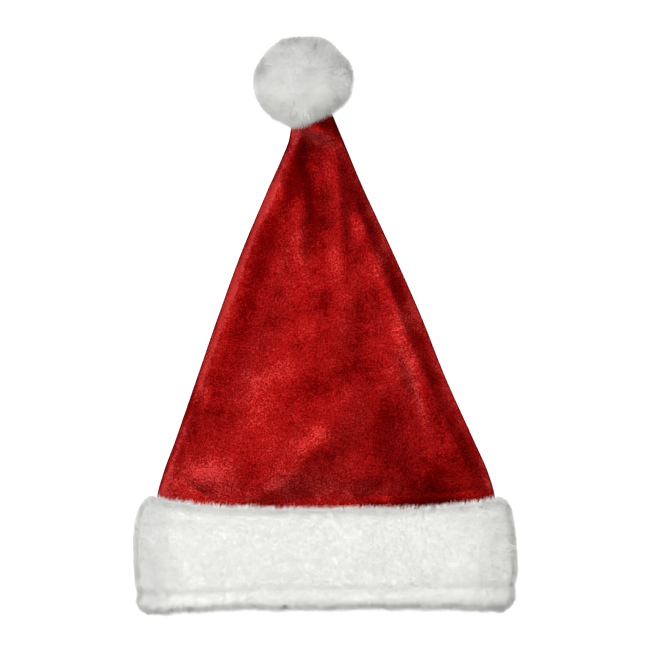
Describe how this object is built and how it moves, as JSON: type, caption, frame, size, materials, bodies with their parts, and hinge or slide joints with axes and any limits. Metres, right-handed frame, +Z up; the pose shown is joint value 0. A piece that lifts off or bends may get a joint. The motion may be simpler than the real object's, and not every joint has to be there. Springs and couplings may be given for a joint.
{
  "type": "santa hat",
  "caption": "Red plush-velvet cone hat with a thick white plush cuff and a white plush pompom, lying flat on its back.",
  "frame": {"origin": "on the surface the hat lies on, under the middle of its outline seen from above", "axes": "+X across the hat from its left folded edge to its right one, +Y from the mouth towards the pompom, +Z up from the surface"},
  "size_m": [0.307, 0.458, 0.072],
  "materials": {
    "red_velvet": "plush velvet with a soft sheen",
    "white_plush": "short dense matt fur"
  },
  "bodies": {
    "root": {"crown_front": "red_velvet", "crown_back": "red_velvet", "cuff": "white_plush", "pompom": "white_plush"}
  },
  "joints": []
}
